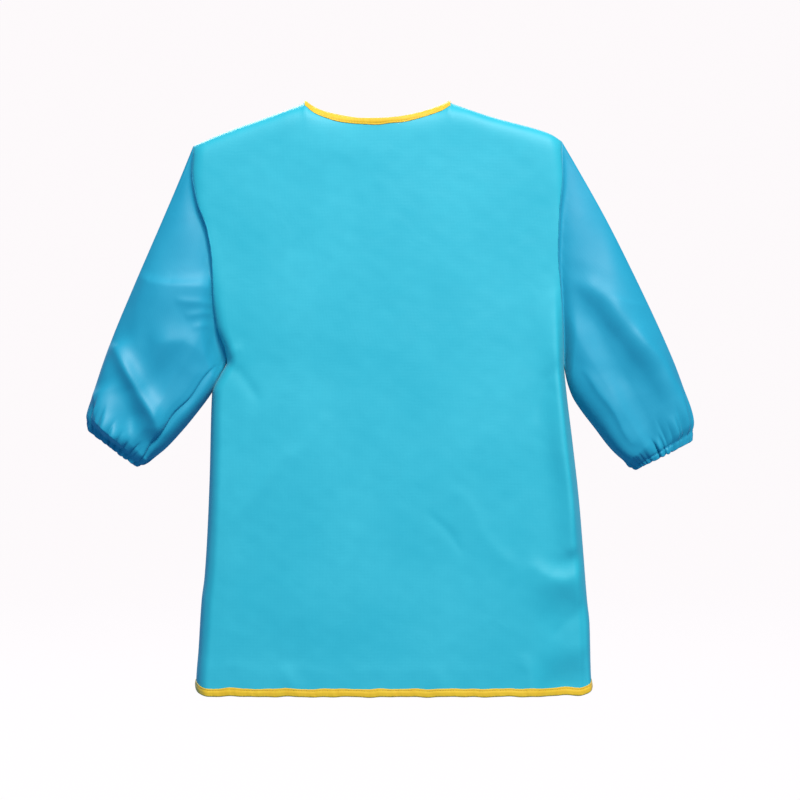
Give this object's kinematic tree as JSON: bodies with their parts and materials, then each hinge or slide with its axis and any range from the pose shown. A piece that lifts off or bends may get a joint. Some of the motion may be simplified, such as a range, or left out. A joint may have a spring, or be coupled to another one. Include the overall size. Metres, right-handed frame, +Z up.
{
  "type": "painting smock",
  "caption": "Child's long-sleeved painting smock in coated cloth, with bound neck and hem, elastic cuffs and an overlapping back that opens.",
  "frame": {"origin": "middle of the neck opening, level with the tops of the shoulders", "axes": "+Z up as the smock hangs, the front of the smock faces -Y, +X towards the wearer's left"},
  "size_m": [0.6039, 0.0796, 0.5963],
  "materials": {
    "cloth": "satin",
    "binding": "matte",
    "elastic": "matte",
    "patch": "matte",
    "label": "matte"
  },
  "bodies": {
    "torso": {"front_panel": "cloth", "back_panel_right": "cloth", "back_panel_left": "cloth", "sleeve_cap_right": "cloth", "sleeve_cap_left": "cloth", "neck_binding_front": "binding", "hem_binding_front": "binding", "hem_binding_back_right": "binding", "hem_binding_back_left": "binding", "care_label": "label"},
    "back_right": {"back_flap_right": "cloth", "neck_binding_back_right": "binding", "hem_binding_flap_right": "binding", "back_edge_binding_right": "binding", "hook_patch_neck": "patch", "hook_patch_back": "patch"},
    "back_left": {"back_flap_left": "cloth", "neck_binding_back_left": "binding", "hem_binding_flap_left": "binding", "back_edge_binding_left": "binding", "loop_patch_neck": "patch", "loop_patch_back": "patch"},
    "arm_right": {"sleeve_right": "cloth", "cuff_elastic_right": "elastic", "cuff_casing_right": "cloth"},
    "arm_left": {"sleeve_left": "cloth", "cuff_elastic_left": "elastic", "cuff_casing_left": "cloth"}
  },
  "joints": [
    {"name": "back_open_right", "type": "hinge", "parent": "torso", "child": "back_right", "pos_m": [-0.072, 0.0171, 0], "axis": [0.0494, -0.0332, 0.9982], "range_deg": [0, 120]},
    {"name": "back_open_left", "type": "hinge", "parent": "torso", "child": "back_left", "pos_m": [0.072, 0.0171, 0], "axis": [0.1042, 0.033, -0.994], "range_deg": [0, 66]},
    {"name": "sleeve_raise_right", "type": "hinge", "parent": "torso", "child": "arm_right", "pos_m": [-0.168, 0, -0.2], "axis": [0, 1, 0], "range_deg": [0, 30], "deforming": ["sleeve_cap_right"]},
    {"name": "sleeve_raise_left", "type": "hinge", "parent": "torso", "child": "arm_left", "pos_m": [0.187, 0, -0.205], "axis": [0, -1, 0], "range_deg": [0, 30], "deforming": ["sleeve_cap_left"]}
  ],
  "couplings": [
    {"joint": "back_open_left", "follows": "back_open_right", "ratio": 0.55}
  ]
}
